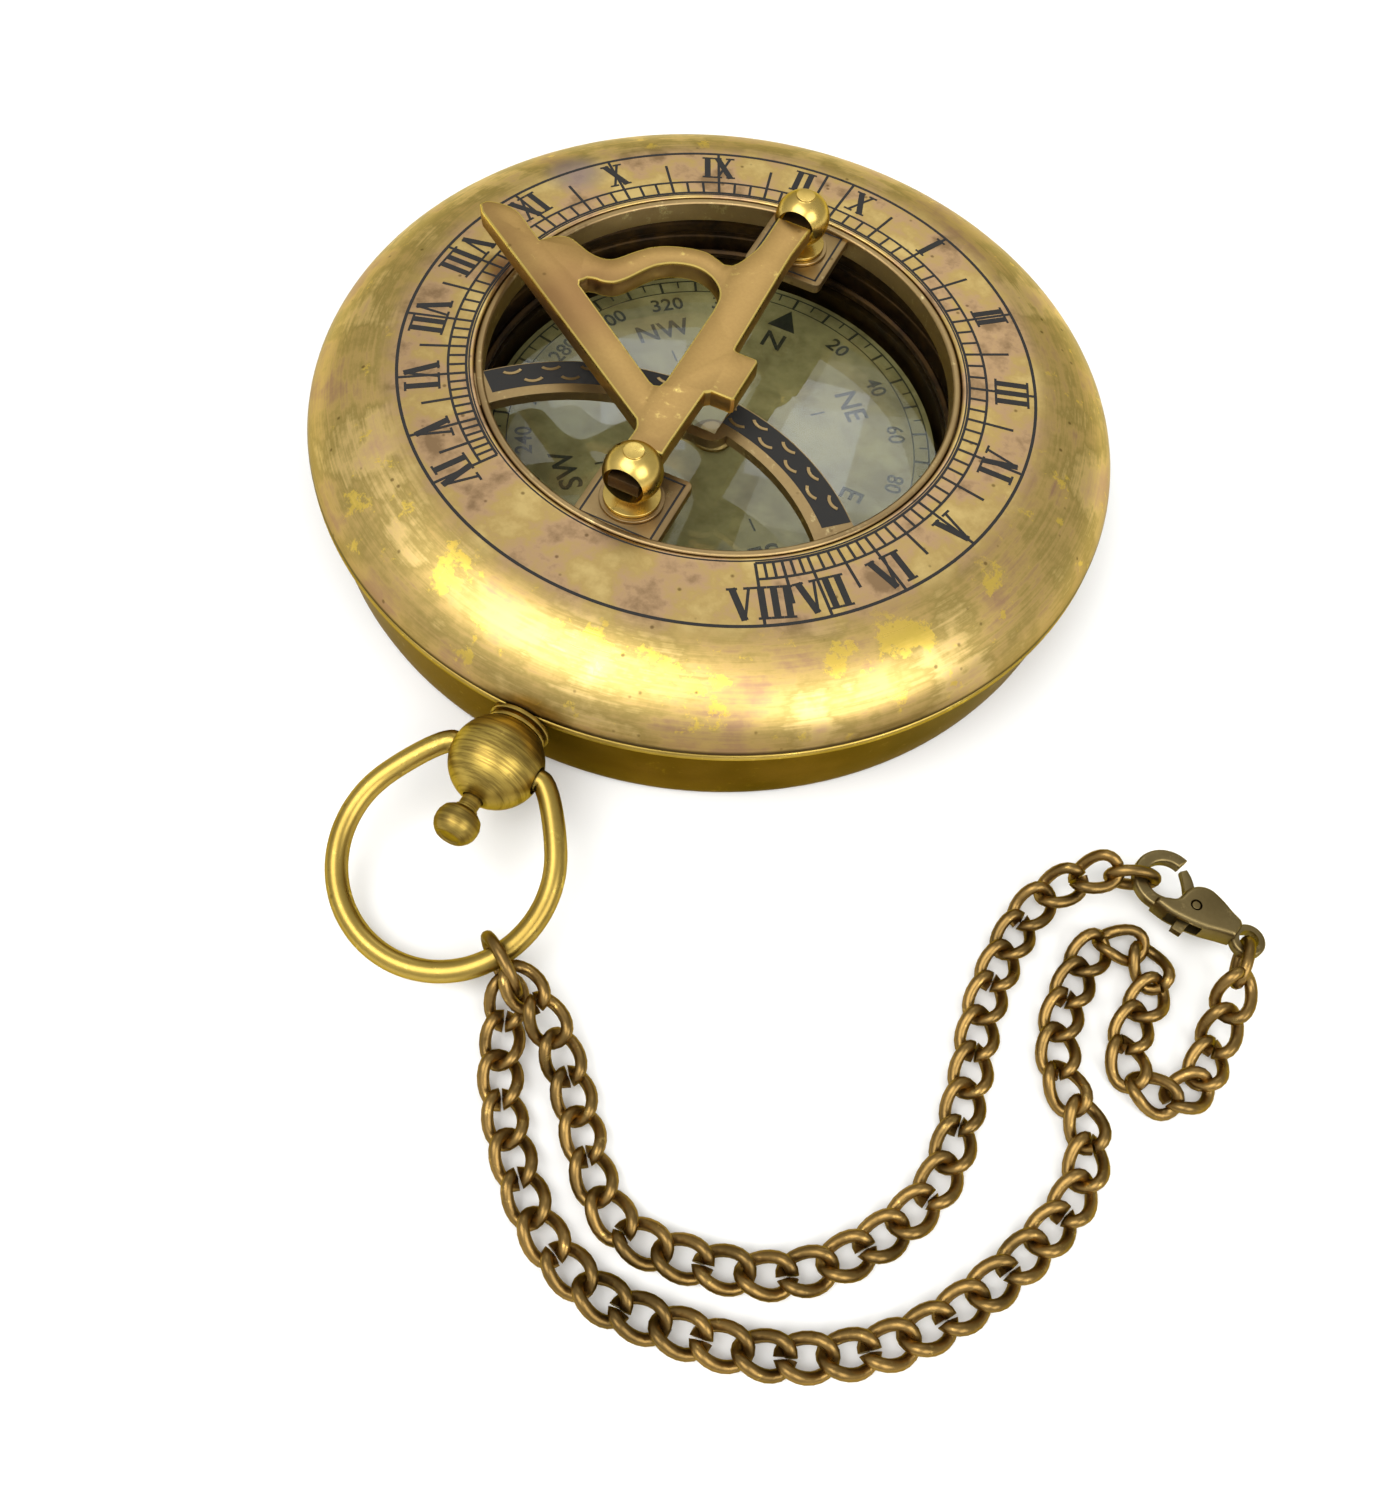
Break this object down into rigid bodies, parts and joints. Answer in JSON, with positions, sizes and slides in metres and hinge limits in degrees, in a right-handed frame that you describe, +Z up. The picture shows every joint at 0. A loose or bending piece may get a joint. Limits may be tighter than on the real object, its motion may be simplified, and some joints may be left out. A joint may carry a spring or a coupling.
{
  "type": "sundial compass",
  "caption": "Pocket sundial compass: round brass case with windowed dial lid, folding gnomon on ball posts, compass card under glass, pendant with bail and button, curb chain with clasp",
  "frame": {"origin": "centre of the flat underside of the case, which stands on the surface", "axes": "+Z up; +Y towards the case hinge and along the noon line; -Y towards the pendant; +X towards the afternoon hours"},
  "size_m": [0.1021, 0.1147, 0.0216],
  "materials": {
    "case_brass": "antique brass, aged and part polished",
    "dial_brass": "brass with brown patina and dark engraving",
    "dark_brass": "darkened brass",
    "bright_brass": "polished brass",
    "chain_bronze": "antique bronze-brown plating",
    "steel": "plain steel",
    "card_print": "printed card, matt",
    "glass": "clear flat glass"
  },
  "bodies": {
    "base": {"case_base": "case_brass", "compass_bowl": "dark_brass", "pivot_pin": "steel", "compass_glass": "glass", "glass_ring": "dark_brass", "hinge_pin": "steel", "catch_pin": "steel", "pendant_neck": "case_brass", "pendant_ball": "dial_brass", "chain_lead": "chain_bronze", "chain_strand_a": "chain_bronze", "chain_strand_b": "chain_bronze", "chain_pile": "chain_bronze", "clasp_body": "chain_bronze", "clasp_pin": "steel"},
    "card": {"compass_card": "card_print", "card_cap": "dark_brass", "magnet_east": "steel", "magnet_west": "steel"},
    "lid": {"lid_shell": "case_brass", "strike_plate": "case_brass", "dial_bridge": "dial_brass", "post_near": "bright_brass", "post_far": "bright_brass", "washer_near": "dial_brass", "washer_far": "dial_brass", "nut_near": "case_brass", "nut_far": "case_brass"},
    "gnomon": {"gnomon": "case_brass"},
    "button": {"push_button": "bright_brass"},
    "catch": {"catch_lever": "case_brass", "catch_spring": "steel"},
    "bail": {"bail": "bright_brass"},
    "clasp_lever": {"clasp_lever": "chain_bronze"}
  },
  "joints": [
    {"name": "lid_hinge", "type": "hinge", "parent": "base", "child": "lid", "pos_m": [0, 0.0372, 0.0096], "axis": [-1, 0, 0], "range_deg": [0, 110]},
    {"name": "gnomon_fold", "type": "hinge", "parent": "lid", "child": "gnomon", "pos_m": [0, 0, 0.019], "axis": [0, 1, 0], "range_deg": [0, 90]},
    {"name": "card_spin", "type": "hinge", "parent": "base", "child": "card", "pos_m": [0, 0, 0], "axis": [0, 0, 1], "continuous": true},
    {"name": "button_push", "type": "slide", "parent": "base", "child": "button", "axis": [0, 1, 0], "range_m": [0, 0.0008], "stiffness_N_per_m": 400},
    {"name": "catch_turn", "type": "hinge", "parent": "base", "child": "catch", "pos_m": [0, -0.0304, 0.0026], "axis": [-1, 0, 0], "range_deg": [0, 9.5]},
    {"name": "bail_swing", "type": "hinge", "parent": "base", "child": "bail", "pos_m": [0, -0.0422, 0.0076], "axis": [-1, 0, 0], "range_deg": [0, 125], "deforming": ["chain_lead"]},
    {"name": "clasp_lever_turn", "type": "hinge", "parent": "base", "child": "clasp_lever", "pos_m": [0.05694, -0.02597, 0.0036], "axis": [0, 0, 1], "range_deg": [0, 24], "stiffness_Nm_per_rad": 0.002}
  ],
  "couplings": [
    {"joint": "catch_turn", "follows": "button_push", "rad_per_m": 200}
  ]
}
